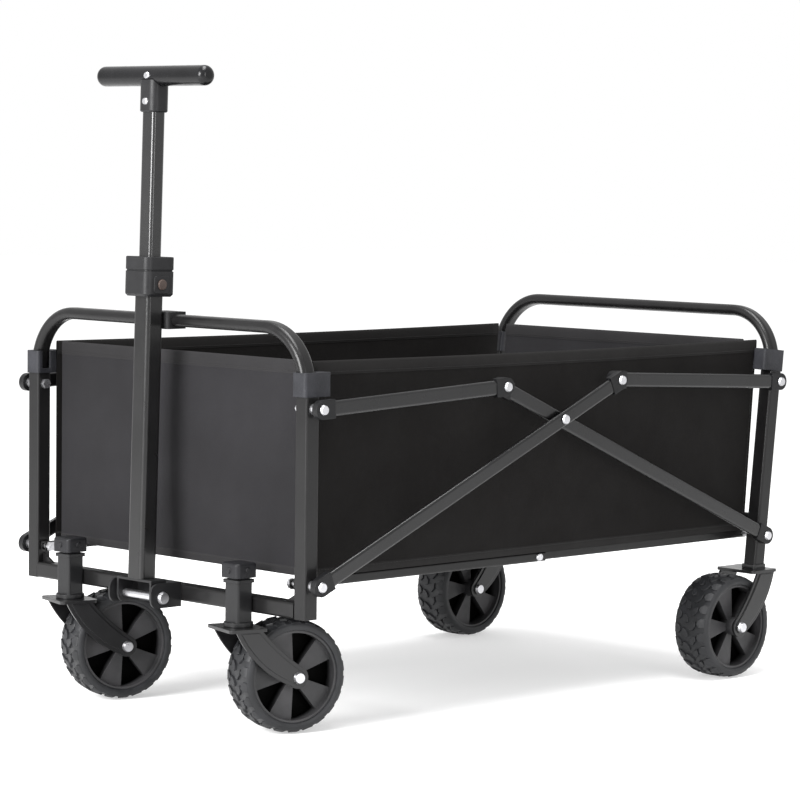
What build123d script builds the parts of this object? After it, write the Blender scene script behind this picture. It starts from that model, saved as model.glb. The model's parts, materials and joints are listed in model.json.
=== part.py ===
from build123d import *
import os
from math import atan2, cos, radians, sin, tan

# Folding camp wagon. Millimetres. +X forward (handle end), +Y to the wagon's left, +Z up.
# The origin is on the ground, under the middle of the wagon's outer box.

# ---- driving dimensions -----------------------------------------------------------------
LINK_MID_X = -8.1  # X of the scissor crossing, halfway between the two end frames
HALF_SPAN = 418.0  # crossing to either lower pivot, along X
PIVOT_Z = 190.0  # lower pivots above the ground
PIVOT_RISE = 211.0  # upper pivots above the lower ones, along the end frame
CROSS_RISE = 180.0  # scissor crossing above the lower pivots
KNUCKLE_DX = 106.0  # crossing to either knuckle, along X
REAR_LEAN = 6.0  # degrees that the rear frame leans back

UPRIGHT = 21.0  # square frame tube
UPRIGHT_Y = 257.5  # centre of the uprights
FRAME_BOTTOM = -41.0  # bottom of the front frame, from the lower pivots
REAR_UPRIGHT_LOW = -44.5  # foot of a rear upright, from the lower pivots
GUSSET_ACROSS = 23.0  # corner gussets between the front crossbar and its uprights
GUSSET_RISE = 12.0  # low enough for the floor rails to swing past
GUSSET_THICK = 3.0
CROSSBAR_TOP = -21.0  # top of the front crossbar, from the lower pivots
REAR_BAR_LOW = 8.0  # rear crossbar, from the lower pivots
REAR_BAR_HIGH = 28.0
REAR_BAR_BACK = -22.5  # it stands behind the folded floor rails
REAR_BAR_FRONT = -7.0
UPRIGHT_TOP = 231.0  # top of an upright tube, from the lower pivots
HOOP_RISE = 305.0  # centre line of the hoops, from the lower pivots
HOOP_BEND = 73.0  # hoop corner radius on the centre line
HOOP_FLAT = 22.0  # hoop tube, along the wagon
HOOP_THIN = 15.0  # hoop tube, in the plane of the hoop
TUBE_CORNER = 3.0
TUBE_WALL = 1.5
SLEEVE_LOW = 225.0  # corner sleeve, from the lower pivots
SLEEVE_HIGH = 254.0
SLEEVE_EAR = 28.0  # reach of a sleeve's ear from the middle of its upright

INNER_LAYER_Y = 273.1  # middle of the inner layer of links
OUTER_LAYER_Y = 282.3  # middle of the outer layer of links
LINK_HEIGHT = 19.0
LINK_THICK = 7.0
LINK_WALL = 1.2
CAP_HEIGHT = 23.0
CAP_THICK = 8.6
CAP_LENGTH = 19.0  # how far an end cap covers its link
LINK_GAP = 9.0  # the tube starts this far from its pivot, inside the cap

PIN_R = 4.0
RUNNING = 0.05  # radial clearance of a turning pin
HEAD_R = 6.4
HEAD_H = 2.6
HEAD_TAPER = 25.0  # degrees
NUT_R = 6.5
NUT_H = 5.0

WHEEL_R = 70.0
WHEEL_WIDTH = 56.0
RIM_R = 56.5
RIM_INNER_R = 53.5
HUB_R = 12.0
WEB_THICK = 3.0  # closed disc between the spokes
SPOKES = 5
SPOKE_HUB_HALF = 4.0  # half width of a spoke at the hub
SPOKE_RIM_HALF = 16.5  # half width of a spoke at the rim
AXLE_R = 5.0
AXLE_HEAD_R = 7.4
SWIVEL_X = 432.9
SWIVEL_Y = 163.0
SWIVEL_ANGLE = -15.0  # how far the casters stand turned
TRAIL = 65.0  # swivel axis to caster axle
FORK_GAP = 30.5  # fork leg to the middle of its wheel
LEG_THICK = 3.0
LEG_FRONT = 20.0  # ends of a leg's top edge, from the middle of its plate
LEG_BACK = 14.0
LEG_BOSS_R = 13.5
LEG_BOW_LOW = 10.0  # how far a leg's lower and upper edges bow downwards
LEG_BOW_HIGH = 3.0
PLATE_THICK = 4.0
FORK_TOP = 132.5  # top of the caster fork plates
HOUSING = 25.0  # square caster housing
HOUSING_LOW = 138.0
HOUSING_HIGH = 186.0
STEM_R = 8.0
REAR_WHEEL_Y = 249.0
REAR_PLATE_X = -416.1  # middle of the rear fork plates
REAR_TRAIL = -50.0  # the rear axles stand ahead of their plates
REAR_FORK_TOP = 144.0  # top of the rear fork plates
FOOT_SIZE = 25.0  # socket that holds a rear upright on its fork plate
FOOT_RISE = 6.0
PLATE_LENGTH = 51.0
PLATE_SHIFT = 1.0  # middle of a fork plate, from the swivel axis
RIB_RISE = 1.5  # pressed rib on a fork leg
RIB_INSET = 5.0
AXLE_HEAD_H = 4.0
AXLE_TAPER = 18.0  # degrees
CUP_R = 18.0  # swivel bearing cup
CAP_SIZE = 33.0  # square cap over a caster stem
CAP_RISE = 18.0
CAP_NECK = 2.0  # waist under the cap
CAP_RIVET_R = 3.4
CAP_RIVET_OUT = 1.4

BASKET_TOP = 455.0
BASKET_HALF_Y = 245.5
BASKET_SKIN = 2.4
BASKET_FRONT_X = 391.6
FRONT_PANEL_HALF_Y = 234.0  # the end panels stand between their own floor rails
REAR_PANEL_HALF_Y = 225.0
REAR_EDGE_X = 20.0  # rear edge of the side walls, ahead of the rear frame's middle
REAR_PANEL_X = 16.0  # rear face of the rear panel, ahead of the rear frame's middle
REAR_PANEL_FOLLOW = 0.72  # share of the rear frame's lean that the basket follows
FLOOR_Z = 196.3  # underside of the basket floor, just above the floor rails
FLOOR_SKIN = 1.0
MAT_THICK = 8.0
MAT_HALF_Y = 224.0
MAT_START = 118.0  # floor mat, from the pivot of its own floor frame
MAT_END = 366.0
RAIL_WIDTH = 9.0
RAIL_HEIGHT = 12.0
RAIL_REACH = 430.0  # floor rails run a little past the middle, side by side
FRONT_RAIL_Y = 239.8
REAR_RAIL_Y = 230.1
FLOOR_TUBES = (140.0, 330.0)  # floor cross tubes, from the pivot

HITCH_X = 450.4  # handle pivot
HITCH_Z = 155.0
HITCH_HALF_Y = 41.5
HITCH_R = 5.0
HITCH_HEAD_R = 8.0
HITCH_HEAD_H = 4.0
HITCH_LOW = 142.5
HITCH_HIGH = 173.0
HITCH_CORNER = 11.0  # rounding of the cheeks' front corners
HITCH_NOSE = 468.9  # front end of the bracket's two cheeks
HITCH_PLATE = 3.0
CLEVIS_R = 12.0
CLEVIS_HALF_Y = 33.0
HANDLE_LEAN = 1.5  # degrees that the parked handle leans back
OUTER_TUBE_Y = 29.0
OUTER_TUBE_X = 26.0
OUTER_TUBE_LOW = 21.0  # heights along the handle, from its pivot
OUTER_TUBE_HIGH = 402.0
COLLAR = 47.0
COLLAR_LOW = 370.0
COLLAR_HIGH = 419.0
COLLAR_GROOVE = 401.0
COLLAR_PAD_X = 24.0  # raised pad round the button
COLLAR_PAD_W = 22.0
COLLAR_PAD_OUT = 1.2
BUTTON_W = 385.0
BUTTON_R = 6.5
BUTTON_BACK_Y = 18.4
BUTTON_FACE_Y = 26.9
INNER_TUBE_Y = 24.0
INNER_TUBE_X = 20.0
INNER_TUBE_LOW = 190.0
INNER_TUBE_INTO_NECK = 26.0
NECK_LOW = 596.0
NECK_HIGH = 635.5
NECK_Y = 32.0
NECK_X = 28.0
NECK_CORNER = 10.0
GRIP_W = 640.5
GRIP_R = 12.5
GRIP_HALF = 103.0
NECK_RIVETS = ((609.0, 14.0), (640.5, 12.55))  # height, and face ahead of the handle's middle
NECK_RIVET_R = 4.6
NECK_RIVET_H = 2.2
BUMPER_HALF_Z = 10.5
BUMPER_HALF_Y = 20.0
BUMPER_FRONT = 427.4  # the parked handle stands just ahead of this face
BUMPER_BACK = 395.9

# ---- derived places ----------------------------------------------------------------------
FRONT_X = LINK_MID_X + HALF_SPAN
REAR_X = LINK_MID_X - HALF_SPAN
UPRIGHT_OUT = UPRIGHT_Y + UPRIGHT / 2
UPRIGHT_IN = UPRIGHT_Y - UPRIGHT / 2
KNUCKLE_Z = PIVOT_Z + CROSS_RISE * (1 + KNUCKLE_DX / HALF_SPAN)
SIDES = {"left": 1, "right": -1}


def leaning_plane(x, z, lean):
    """A plane whose normal points up, leaned towards the rear by some degrees."""
    c = cos(radians(lean))
    s = sin(radians(lean))
    return Plane(origin=(x, 0, z), x_dir=(c, 0, s), z_dir=(-s, 0, c))


def side_of(frame, x, y, z):
    """A plane seen from the frame's right: x runs forward, y runs up, and its normal is -Y."""
    origin = frame.from_local_coords(Vector(x, y, z))
    return Plane(origin=origin, x_dir=frame.x_dir, z_dir=-frame.y_dir)


FRONT = leaning_plane(FRONT_X, PIVOT_Z, 0)
REAR = leaning_plane(REAR_X, PIVOT_Z, REAR_LEAN)
HANDLE = leaning_plane(HITCH_X, HITCH_Z, HANDLE_LEAN)
FRONT_LOW = Vector(FRONT_X, 0, PIVOT_Z)
FRONT_TOP = FRONT.from_local_coords(Vector(0, 0, PIVOT_RISE))
REAR_LOW = Vector(REAR_X, 0, PIVOT_Z)
REAR_TOP = REAR.from_local_coords(Vector(0, 0, PIVOT_RISE))
CROSSING = Vector(LINK_MID_X, 0, PIVOT_Z + CROSS_RISE)
KNUCKLE_FRONT = Vector(LINK_MID_X + KNUCKLE_DX, 0, KNUCKLE_Z)
KNUCKLE_REAR = Vector(LINK_MID_X - KNUCKLE_DX, 0, KNUCKLE_Z)

os.makedirs("parts", exist_ok=True)


def finish(builder, node):
    """Labels a finished piece and writes it to its own STEP file."""
    builder.part.label = node
    export_step(builder.part, f"parts/{node}.step")


def tube_section(width, depth, corner, wall):
    """Adds a hollow rounded rectangle to the sketch being built."""
    RectangleRounded(width, depth, corner)
    inner_corner = max(corner - wall, 0.4)
    RectangleRounded(width - 2 * wall, depth - 2 * wall, inner_corner, mode=Mode.SUBTRACT)


# ---- end frames ----------------------------------------------------------------------------
def build_upright(frame, side, bottom, node):
    """Square tube with two cross holes for the link pins."""
    with BuildPart() as upright:
        with BuildSketch(frame.offset(bottom)):
            with Locations((0, side * UPRIGHT_Y)):
                tube_section(UPRIGHT, UPRIGHT, TUBE_CORNER, TUBE_WALL)
        extrude(amount=UPRIGHT_TOP - bottom)
        with BuildSketch(side_of(frame, 0, side * UPRIGHT_Y, 0)):
            with Locations((0, 0), (0, PIVOT_RISE)):
                Circle(PIN_R + RUNNING)
        extrude(amount=UPRIGHT, both=True, mode=Mode.SUBTRACT)
    finish(upright, node)


def build_crossbar(frame, back, front, low, high, gussets, node):
    """Rectangular tube between the two uprights, with or without a gusset in each corner."""
    middle = frame.from_local_coords(Vector((back + front) / 2, 0, (low + high) / 2))
    with BuildPart() as crossbar:
        with BuildSketch(Plane(origin=middle, x_dir=frame.x_dir, z_dir=(0, 1, 0))):
            tube_section(front - back, high - low, TUBE_CORNER, TUBE_WALL)
        extrude(amount=UPRIGHT_IN, both=True)
        if gussets:
            with BuildSketch(Plane(origin=frame.origin, x_dir=(0, 1, 0), z_dir=frame.x_dir)):
                for side in SIDES.values():
                    Polygon(
                        (side * UPRIGHT_IN, high - 1),
                        (side * UPRIGHT_IN, high + GUSSET_RISE),
                        (side * (UPRIGHT_IN - GUSSET_ACROSS), high - 1),
                        align=None,
                    )
            extrude(amount=GUSSET_THICK / 2, both=True)
    finish(crossbar, node)


def build_hoop(frame, node):
    """Flat-oval tube bent into a hoop that stands on the two uprights."""
    with BuildPart() as hoop:
        with BuildLine(Plane(origin=frame.origin, x_dir=(0, 1, 0), z_dir=frame.x_dir)):
            FilletPolyline(
                (-UPRIGHT_Y, UPRIGHT_TOP),
                (-UPRIGHT_Y, HOOP_RISE),
                (UPRIGHT_Y, HOOP_RISE),
                (UPRIGHT_Y, UPRIGHT_TOP),
                radius=HOOP_BEND,
            )
        foot = frame.from_local_coords(Vector(0, -UPRIGHT_Y, UPRIGHT_TOP))
        with BuildSketch(Plane(origin=foot, x_dir=frame.x_dir, z_dir=frame.z_dir)):
            tube_section(HOOP_FLAT, HOOP_THIN, HOOP_THIN / 2 - 0.2, TUBE_WALL)
        sweep()
    finish(hoop, node)


def build_sleeves(frame, inward, node):
    """Moulded corner sleeves over the joint of hoop and upright, each with an ear for the basket."""
    with BuildPart() as sleeves:
        for side in SIDES.values():
            outer_y = UPRIGHT_OUT + 0.6
            inner_y = UPRIGHT_IN - 3.0
            with BuildSketch(frame.offset(SLEEVE_LOW)):
                with Locations((0, side * (outer_y + inner_y) / 2)):
                    RectangleRounded(UPRIGHT + 6, outer_y - inner_y, 4)
                with Locations((inward * SLEEVE_EAR / 2, side * (outer_y + UPRIGHT_IN) / 2)):
                    RectangleRounded(SLEEVE_EAR, outer_y - UPRIGHT_IN, 3)
            extrude(amount=SLEEVE_HIGH - SLEEVE_LOW)
        for side in SIDES.values():
            with BuildSketch(frame.offset(SLEEVE_LOW)):
                with Locations((0, side * UPRIGHT_Y)):
                    RectangleRounded(UPRIGHT + 0.1, UPRIGHT + 0.1, TUBE_CORNER)
            extrude(amount=UPRIGHT_TOP - SLEEVE_LOW, mode=Mode.SUBTRACT)
            with BuildSketch(frame.offset(UPRIGHT_TOP)):
                with Locations((0, side * (UPRIGHT_Y - 3.0))):
                    RectangleRounded(HOOP_FLAT + 0.2, HOOP_THIN + 6.2, HOOP_THIN / 2 - 0.2)
            extrude(amount=SLEEVE_HIGH - UPRIGHT_TOP, mode=Mode.SUBTRACT)
    finish(sleeves, node)


for side_name, side in SIDES.items():
    build_upright(FRONT, side, FRAME_BOTTOM, f"front_upright_{side_name}")
    build_upright(REAR, side, REAR_UPRIGHT_LOW, f"rear_upright_{side_name}")
build_crossbar(FRONT, -UPRIGHT / 2, UPRIGHT / 2, FRAME_BOTTOM, CROSSBAR_TOP, True, "front_crossbar")
build_crossbar(REAR, REAR_BAR_BACK, REAR_BAR_FRONT, REAR_BAR_LOW, REAR_BAR_HIGH, False, "rear_crossbar")
build_hoop(FRONT, "front_hoop")
build_hoop(REAR, "rear_hoop")
build_sleeves(FRONT, -1, "front_corner_sleeves")
build_sleeves(REAR, 1, "rear_corner_sleeves")


# ---- scissor links --------------------------------------------------------------------------
def link_plane(start, end, layer_y):
    """A plane across a link's length at its start, x along Y and y up across the link."""
    along = (end - start).normalized()
    return Plane(origin=Vector(start.X, layer_y, start.Z), x_dir=(0, 1, 0), z_dir=along)


def build_link(start, end, layer_y, middle_hole, node):
    """A pair of flat-oval tubes, left and right, that stop short of their pivots."""
    length = (end - start).length
    with BuildPart() as link:
        for side in SIDES.values():
            with BuildSketch(link_plane(start, end, side * layer_y).offset(LINK_GAP)):
                tube_section(LINK_THICK, LINK_HEIGHT, LINK_THICK / 2 - 0.2, LINK_WALL)
            extrude(amount=length - 2 * LINK_GAP)
            if middle_hole is not None:
                hole_plane = Plane(origin=(middle_hole.X, side * layer_y, middle_hole.Z), z_dir=(0, 1, 0))
                with BuildSketch(hole_plane):
                    Circle(PIN_R + RUNNING)
                extrude(amount=LINK_THICK, both=True, mode=Mode.SUBTRACT)
    finish(link, node)


def build_caps(start, end, layer_y, node):
    """Rounded end caps over both ends of a pair of links, each with its pivot hole."""
    along = (end - start).normalized()
    length = (end - start).length
    with BuildPart() as caps:
        for side in SIDES.values():
            for pivot, direction in ((start, along), (end, along * -1)):
                face = Plane(
                    origin=(pivot.X, side * layer_y, pivot.Z), x_dir=direction, z_dir=(0, 1, 0)
                )
                with BuildSketch(face):
                    Circle(CAP_HEIGHT / 2)
                    with Locations((CAP_LENGTH / 2, 0)):
                        Rectangle(CAP_LENGTH, CAP_HEIGHT)
                    Circle(PIN_R + RUNNING, mode=Mode.SUBTRACT)
                extrude(amount=CAP_THICK / 2, both=True)
        for side in SIDES.values():
            with BuildSketch(link_plane(start, end, side * layer_y).offset(LINK_GAP)):
                RectangleRounded(LINK_THICK, LINK_HEIGHT, LINK_THICK / 2 - 0.2)
            extrude(amount=length - 2 * LINK_GAP, mode=Mode.SUBTRACT)
    finish(caps, node)


LINKS = {
    "long_bars_a": (FRONT_LOW, KNUCKLE_REAR, OUTER_LAYER_Y, CROSSING),
    "long_bars_b": (REAR_LOW, KNUCKLE_FRONT, INNER_LAYER_Y, CROSSING),
    "front_rods": (FRONT_TOP, KNUCKLE_FRONT, OUTER_LAYER_Y, None),
    "rear_rods": (REAR_TOP, KNUCKLE_REAR, INNER_LAYER_Y, None),
}
for link_name, (start, end, layer_y, hole) in LINKS.items():
    build_link(start, end, layer_y, hole, link_name)
    build_caps(start, end, layer_y, f"{link_name}_end_caps")


def add_pin(x, z, side, inner_y, outer_y, nut=True, spacer_to=None):
    """Adds a headed pin along Y, with a nut at its inner end and a spacer beside the upright."""
    inner = Plane(origin=(x, side * inner_y, z), x_dir=(1, 0, 0), z_dir=(0, side, 0))
    with BuildSketch(inner) as shank:
        Circle(PIN_R)
    extrude(shank.sketch, amount=outer_y - inner_y)
    with BuildSketch(inner.offset(outer_y - inner_y)) as head:
        Circle(HEAD_R)
    extrude(head.sketch, amount=HEAD_H, taper=HEAD_TAPER)
    if nut:
        with BuildSketch(inner.offset(-NUT_H)) as hexagon:
            RegularPolygon(NUT_R, 6)
        extrude(hexagon.sketch, amount=NUT_H)
    if spacer_to is not None:
        with BuildSketch(inner.offset(UPRIGHT_OUT - inner_y)) as spacer:
            Circle(HEAD_R)
        extrude(spacer.sketch, amount=spacer_to - UPRIGHT_OUT)


OUTER_FACE_Y = OUTER_LAYER_Y + CAP_THICK / 2 + 0.2
INNER_FACE_Y = INNER_LAYER_Y + CAP_THICK / 2 + 0.2
FRONT_RAIL_FACE = FRONT_RAIL_Y - RAIL_WIDTH / 2 - 0.2
REAR_RAIL_FACE = REAR_RAIL_Y - RAIL_WIDTH / 2 - 0.2
SPACER_END_Y = OUTER_LAYER_Y - CAP_THICK / 2 - 0.2

with BuildPart() as front_pivot_pins:
    for side in SIDES.values():
        add_pin(FRONT_LOW.X, FRONT_LOW.Z, side, FRONT_RAIL_FACE, OUTER_FACE_Y, spacer_to=SPACER_END_Y)
        add_pin(FRONT_TOP.X, FRONT_TOP.Z, side, UPRIGHT_IN, OUTER_FACE_Y, spacer_to=SPACER_END_Y)
finish(front_pivot_pins, "front_pivot_pins")

with BuildPart() as rear_pivot_pins:
    for side in SIDES.values():
        add_pin(REAR_LOW.X, REAR_LOW.Z, side, REAR_RAIL_FACE, INNER_FACE_Y)
        add_pin(REAR_TOP.X, REAR_TOP.Z, side, UPRIGHT_IN, INNER_FACE_Y)
finish(rear_pivot_pins, "rear_pivot_pins")

with BuildPart() as long_bars_a_rivets:
    for side in SIDES.values():
        add_pin(CROSSING.X, CROSSING.Z, side, INNER_LAYER_Y - LINK_THICK / 2 - 0.4, OUTER_FACE_Y, nut=False)
        add_pin(KNUCKLE_REAR.X, KNUCKLE_REAR.Z, side, SPACER_END_Y, OUTER_FACE_Y, nut=False)
finish(long_bars_a_rivets, "long_bars_a_rivets")

with BuildPart() as front_knuckle_rivets:
    for side in SIDES.values():
        add_pin(KNUCKLE_FRONT.X, KNUCKLE_FRONT.Z, side, SPACER_END_Y, OUTER_FACE_Y, nut=False)
finish(front_knuckle_rivets, "front_knuckle_rivets")


# ---- floor frames and mats ---------------------------------------------------------------------
def build_floor_frame(pivot, inward, rail_y, node):
    """Two flat rails with cross tubes, hinged on the lower pivots of an end frame."""
    with BuildPart() as floor:
        for side in SIDES.values():
            start = Plane(origin=(pivot.X, side * rail_y, pivot.Z), x_dir=(0, 1, 0), z_dir=(inward, 0, 0))
            with BuildSketch(start.offset(-HEAD_R)):
                tube_section(RAIL_WIDTH, RAIL_HEIGHT, 2.5, LINK_WALL)
            extrude(amount=RAIL_REACH + HEAD_R)
        for reach in FLOOR_TUBES:
            centre = Plane(origin=(pivot.X + inward * reach, 0, pivot.Z), x_dir=(1, 0, 0), z_dir=(0, 1, 0))
            with BuildSketch(centre):
                tube_section(RAIL_HEIGHT, RAIL_HEIGHT, 2.5, LINK_WALL)
            extrude(amount=rail_y - RAIL_WIDTH / 2, both=True)
        with BuildSketch(Plane(origin=(pivot.X, 0, pivot.Z), z_dir=(0, 1, 0))):
            Circle(PIN_R + RUNNING)
        extrude(amount=UPRIGHT_Y, both=True, mode=Mode.SUBTRACT)
    finish(floor, node)


def build_mat(pivot, inward, node):
    """Stiff floor mat panel that rides on its floor frame, above the basket floor."""
    with BuildPart() as mat:
        base = Plane.XY.offset(FLOOR_Z + FLOOR_SKIN + 0.3)
        with BuildSketch(base):
            with Locations((pivot.X + inward * (MAT_START + MAT_END) / 2, 0)):
                RectangleRounded(MAT_END - MAT_START, 2 * MAT_HALF_Y, 8)
        extrude(amount=MAT_THICK)
        fillet(mat.faces().sort_by(Axis.Z)[-1].edges(), 2)
    finish(mat, node)


build_floor_frame(FRONT_LOW, -1, FRONT_RAIL_Y, "floor_frame_front")
build_floor_frame(REAR_LOW, 1, REAR_RAIL_Y, "floor_frame_rear")
build_mat(FRONT_LOW, -1, "floor_mat_front")
build_mat(REAR_LOW, 1, "floor_mat_rear")

with BuildPart() as floor_hinge_rivets:
    for side in SIDES.values():
        rail_out = Plane(
            origin=(LINK_MID_X, side * (FRONT_RAIL_Y + RAIL_WIDTH / 2), PIVOT_Z), z_dir=(0, side, 0)
        )
        with BuildSketch(rail_out):
            Circle(HEAD_R - 1)
        extrude(amount=HEAD_H, taper=HEAD_TAPER)
finish(floor_hinge_rivets, "floor_hinge_rivets")


# ---- basket --------------------------------------------------------------------------------------
def rear_x(ahead, z):
    """X of the basket's rear end at a height, some way ahead of the leaning rear frame."""
    lean = radians(REAR_LEAN)
    return REAR_X + ahead / cos(lean) - (z - PIVOT_Z) * tan(lean) * REAR_PANEL_FOLLOW


with BuildPart() as basket_front:
    with BuildSketch(Plane.XY.offset(FLOOR_Z + FLOOR_SKIN)):
        with Locations((BASKET_FRONT_X - BASKET_SKIN / 2, 0)):
            Rectangle(BASKET_SKIN, 2 * FRONT_PANEL_HALF_Y)
    extrude(amount=BASKET_TOP - FLOOR_Z - FLOOR_SKIN)
finish(basket_front, "basket_front")

with BuildPart() as basket_rear:
    panel_foot = rear_x(REAR_PANEL_X, FLOOR_Z + FLOOR_SKIN)
    panel_top = rear_x(REAR_PANEL_X, BASKET_TOP)
    with BuildSketch(Plane.XZ):
        Polygon(
            (panel_foot, FLOOR_Z + FLOOR_SKIN),
            (panel_foot + BASKET_SKIN, FLOOR_Z + FLOOR_SKIN),
            (panel_top + BASKET_SKIN, BASKET_TOP),
            (panel_top, BASKET_TOP),
            align=None,
        )
    extrude(amount=REAR_PANEL_HALF_Y, both=True)
finish(basket_rear, "basket_rear")

with BuildPart() as basket_trough:
    for side in SIDES.values():
        with BuildSketch(Plane.XZ.offset(-side * (BASKET_HALF_Y - BASKET_SKIN / 2))):
            Polygon(
                (rear_x(REAR_EDGE_X, FLOOR_Z), FLOOR_Z),
                (rear_x(REAR_EDGE_X, BASKET_TOP), BASKET_TOP),
                (BASKET_FRONT_X, BASKET_TOP),
                (BASKET_FRONT_X, FLOOR_Z),
                align=None,
            )
        extrude(amount=BASKET_SKIN / 2, both=True)
    floor_rear_x = rear_x(REAR_EDGE_X, FLOOR_Z)
    floor_front_x = BASKET_FRONT_X - BASKET_SKIN - 0.4
    with BuildSketch(Plane.XY.offset(FLOOR_Z)):
        with Locations(((floor_rear_x + floor_front_x) / 2, 0)):
            Rectangle(floor_front_x - floor_rear_x, 2 * BASKET_HALF_Y - BASKET_SKIN)
    extrude(amount=FLOOR_SKIN)
finish(basket_trough, "basket_trough")


# ---- wheels -----------------------------------------------------------------------------------------
def build_wheel(centre, axle, node_suffix):
    """A tyre and a five-spoke rim that turn about the axle direction."""
    spin = Axis(centre, axle)
    across = Plane(origin=centre, x_dir=axle, z_dir=axle.cross(Vector(0, 0, 1)) * -1)
    half = WHEEL_WIDTH / 2
    with BuildPart() as tyre:
        with BuildSketch(across):
            with BuildLine():
                lip = (half - 3.0, RIM_R)
                shoulder = (half, RIM_R + 4.0)
                crown = (half - 7.0, WHEEL_R - 1.2)
                Line((0, RIM_R), lip)
                Line(lip, shoulder)
                ThreePointArc(shoulder, (half - 1.6, WHEEL_R - 5.6), crown)
                ThreePointArc(crown, (half / 2 - 3, WHEEL_R - 0.4), (0, WHEEL_R))
                mirror(about=Plane.YZ)
            make_face()
        revolve(axis=spin)
    finish(tyre, f"tyre_{node_suffix}")

    face = Plane(origin=centre, x_dir=axle.cross(Vector(0, 0, 1)), z_dir=axle)
    with BuildPart() as rim:
        with BuildSketch(face):
            Circle(RIM_R)
            Circle(RIM_INNER_R, mode=Mode.SUBTRACT)
        extrude(amount=half - 3.0, both=True)
        with BuildSketch(face):
            with PolarLocations(0, SPOKES):
                Polygon(
                    (HUB_R - 4, -SPOKE_HUB_HALF),
                    (RIM_INNER_R + 0.5, -SPOKE_RIM_HALF),
                    (RIM_INNER_R + 0.5, SPOKE_RIM_HALF),
                    (HUB_R - 4, SPOKE_HUB_HALF),
                    align=None,
                )
        extrude(amount=half - 11.0, both=True)
        with BuildSketch(face):
            Circle(RIM_INNER_R + 1)
        extrude(amount=WEB_THICK / 2, both=True)
        with BuildSketch(face):
            Circle(HUB_R)
        extrude(amount=half, both=True)
        with BuildSketch(face):
            Circle(AXLE_R + RUNNING)
        extrude(amount=half + 1, both=True, mode=Mode.SUBTRACT)
    finish(rim, f"rim_{node_suffix}")


def leg_outline(trail, drop):
    """Draws a banana-shaped fork leg, from under the plate down to the boss round the axle."""
    way = 1 if trail > 0 else -1
    reach = abs(trail)
    slope = atan2(-drop, reach)
    across_x = sin(slope)
    across_z = cos(slope)
    near_top = (-way * LEG_FRONT, 0)
    far_top = (way * LEG_BACK, 0)
    low_x = reach - LEG_BOSS_R * across_x
    low_z = drop - LEG_BOSS_R * across_z
    high_x = reach + LEG_BOSS_R * across_x
    high_z = drop + LEG_BOSS_R * across_z
    tip = (way * (reach + LEG_BOSS_R * across_z), drop - LEG_BOSS_R * across_x)
    low_bow = ((low_x - LEG_FRONT) / 2 - LEG_BOW_LOW * across_x, low_z / 2 - LEG_BOW_LOW * across_z)
    high_bow = ((high_x + LEG_BACK) / 2 - LEG_BOW_HIGH * across_x, high_z / 2 - LEG_BOW_HIGH * across_z)
    with BuildLine() as outline:
        ThreePointArc(near_top, (way * low_bow[0], low_bow[1]), (way * low_x, low_z))
        ThreePointArc((way * low_x, low_z), tip, (way * high_x, high_z))
        ThreePointArc((way * high_x, high_z), (way * high_bow[0], high_bow[1]), far_top)
        Line(far_top, near_top)
    make_face(outline.line)


def add_fork(frame, trail):
    """Adds a plate and two pressed legs. The frame's origin is over the plate's middle, at its top."""
    way = 1 if trail > 0 else -1
    drop = WHEEL_R - frame.origin.Z
    with BuildSketch(frame.offset(-PLATE_THICK)) as plate:
        with Locations((way * PLATE_SHIFT, 0)):
            RectangleRounded(PLATE_LENGTH, 2 * (FORK_GAP + LEG_THICK), 5)
    extrude(plate.sketch, amount=PLATE_THICK)
    for side in SIDES.values():
        with BuildSketch(side_of(frame, 0, side * (FORK_GAP + LEG_THICK / 2), 0)) as leg:
            leg_outline(-trail, drop)
        extrude(leg.sketch, amount=LEG_THICK / 2, both=True)
        with BuildSketch(side_of(frame, 0, side * (FORK_GAP + LEG_THICK + RIB_RISE / 2), 0)) as rib:
            leg_outline(-trail, drop)
            offset(amount=-RIB_INSET, kind=Kind.ARC, mode=Mode.REPLACE)
        extrude(rib.sketch, amount=RIB_RISE / 2 + 0.1, both=True)
    with BuildSketch(side_of(frame, -trail, 0, drop)) as bore:
        Circle(AXLE_R)
    extrude(bore.sketch, amount=2 * FORK_GAP, both=True, mode=Mode.SUBTRACT)


def add_axle(frame, trail):
    """Adds an axle bolt with a domed head at one end and a domed nut at the other."""
    face = FORK_GAP + LEG_THICK + RIB_RISE + 0.1
    middle = side_of(frame, -trail, 0, WHEEL_R - frame.origin.Z)
    with BuildSketch(middle) as shank:
        Circle(AXLE_R)
    extrude(shank.sketch, amount=face, both=True)
    for way in (1, -1):
        with BuildSketch(middle.offset(way * face)) as head:
            Circle(AXLE_HEAD_R)
        extrude(head.sketch, amount=way * AXLE_HEAD_H, taper=AXLE_TAPER)


for side_name, side in SIDES.items():
    turn = radians(SWIVEL_ANGLE)
    caster = Plane(
        origin=(SWIVEL_X, side * SWIVEL_Y, FORK_TOP), x_dir=(cos(turn), sin(turn), 0), z_dir=(0, 0, 1)
    )
    hub = caster.from_local_coords(Vector(-TRAIL, 0, WHEEL_R - FORK_TOP))
    build_wheel(hub, caster.y_dir, f"front_{side_name}")
    with BuildPart() as caster_fork:
        add_fork(caster, TRAIL)
        with BuildSketch(caster):
            Circle(STEM_R)
        extrude(amount=PIVOT_Z - FORK_TOP)
    finish(caster_fork, f"caster_fork_{side_name}")
    with BuildPart() as caster_axle:
        add_axle(caster, TRAIL)
    finish(caster_axle, f"caster_axle_{side_name}")
    rear_hub = Vector(REAR_PLATE_X - REAR_TRAIL, side * REAR_WHEEL_Y, WHEEL_R)
    build_wheel(rear_hub, Vector(0, 1, 0), f"rear_{side_name}")

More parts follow.
